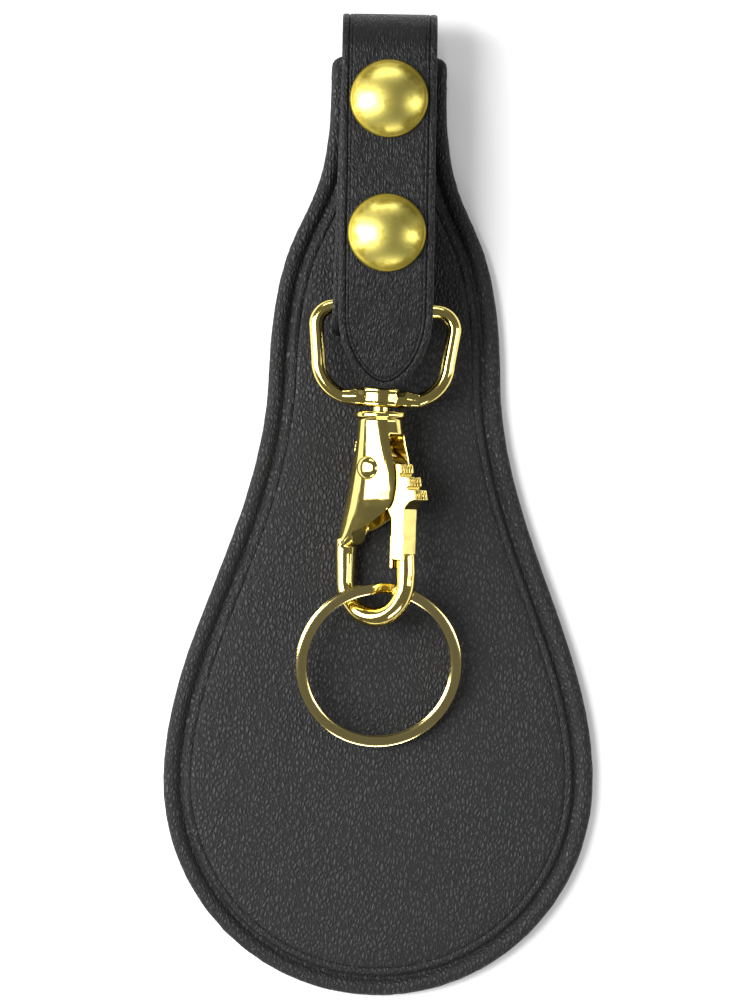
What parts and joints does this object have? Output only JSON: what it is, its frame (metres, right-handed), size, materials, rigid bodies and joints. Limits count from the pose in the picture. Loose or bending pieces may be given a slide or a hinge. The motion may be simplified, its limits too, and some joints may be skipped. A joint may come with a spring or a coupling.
{
  "type": "belt key holder with leather paddle",
  "caption": "Pear-shaped leather paddle that hangs from a belt by a snapped keeper strap, with a D ring, a swivel trigger hook and a split ring for keys.",
  "frame": {"origin": "middle of the bottom of the bounding box; the holder lies on the paddle's back", "axes": "+Y along the length, from the paddle's round end to the belt loop; +Z out of the front, where the strap and the hook are; +X to the right seen from the front"},
  "size_m": [0.0838, 0.1902, 0.0226],
  "materials": {
    "leather_pebbled": "black pebbled leather, semi-matt",
    "leather_strap": "black creased leather, semi-matt",
    "brass_polished": "polished",
    "brass_satin": "satin, a little worn",
    "spring_wire": "plated spring wire"
  },
  "bodies": {
    "holder": {"paddle": "leather_pebbled", "keeper_strap": "leather_strap", "strap_top_fold": "leather_strap", "snap_stud_upper": "brass_satin", "snap_stud_lower": "brass_satin", "snap_eyelet_upper": "brass_satin", "snap_eyelet_lower": "brass_satin", "rivet_post_upper": "brass_satin", "rivet_post_lower": "brass_satin", "rivet_cap_upper": "brass_satin", "rivet_cap_lower": "brass_satin"},
    "flap": {"strap_flap": "leather_strap", "snap_cap_upper": "brass_satin", "snap_cap_lower": "brass_satin", "snap_socket_upper": "brass_satin", "snap_socket_lower": "brass_satin"},
    "d_ring": {"d_ring": "brass_polished"},
    "hook": {"hook_body": "brass_polished", "swivel_post": "brass_polished", "pivot_pin": "brass_polished", "gate_spring": "spring_wire"},
    "gate": {"gate_lever": "brass_polished"},
    "ring": {"split_ring": "brass_polished"}
  },
  "joints": [
    {"name": "flap_fold", "type": "hinge", "parent": "holder", "child": "flap", "pos_m": [0, 0.0871, 0.0115], "axis": [-1, 0, 0], "range_deg": [0, 75], "deforming": ["strap_top_fold"]},
    {"name": "d_ring_swing", "type": "hinge", "parent": "holder", "child": "d_ring", "pos_m": [0.00015, 0.0383, 0.01029], "axis": [-0.999, 0.0454, 0], "range_deg": [0, 90]},
    {"name": "hook_swivel", "type": "hinge", "parent": "d_ring", "child": "hook", "pos_m": [-0.00065, 0.01845, 0.01029], "axis": [0, 1, 0], "range_deg": [-6, 2]},
    {"name": "gate_pivot", "type": "hinge", "parent": "hook", "child": "gate", "pos_m": [-0.00065, 0.00755, 0.01029], "axis": [0.5592, 0, -0.829], "range_deg": [0, 22], "stiffness_Nm_per_rad": 0.02, "springref_deg": -28.65, "deforming": ["gate_spring"]},
    {"name": "ring_tilt", "type": "hinge", "parent": "hook", "child": "ring", "pos_m": [-0.0006, -0.017, 0.0102], "axis": [-0.9968, 0, 0.0797], "range_deg": [0, 90]}
  ]
}
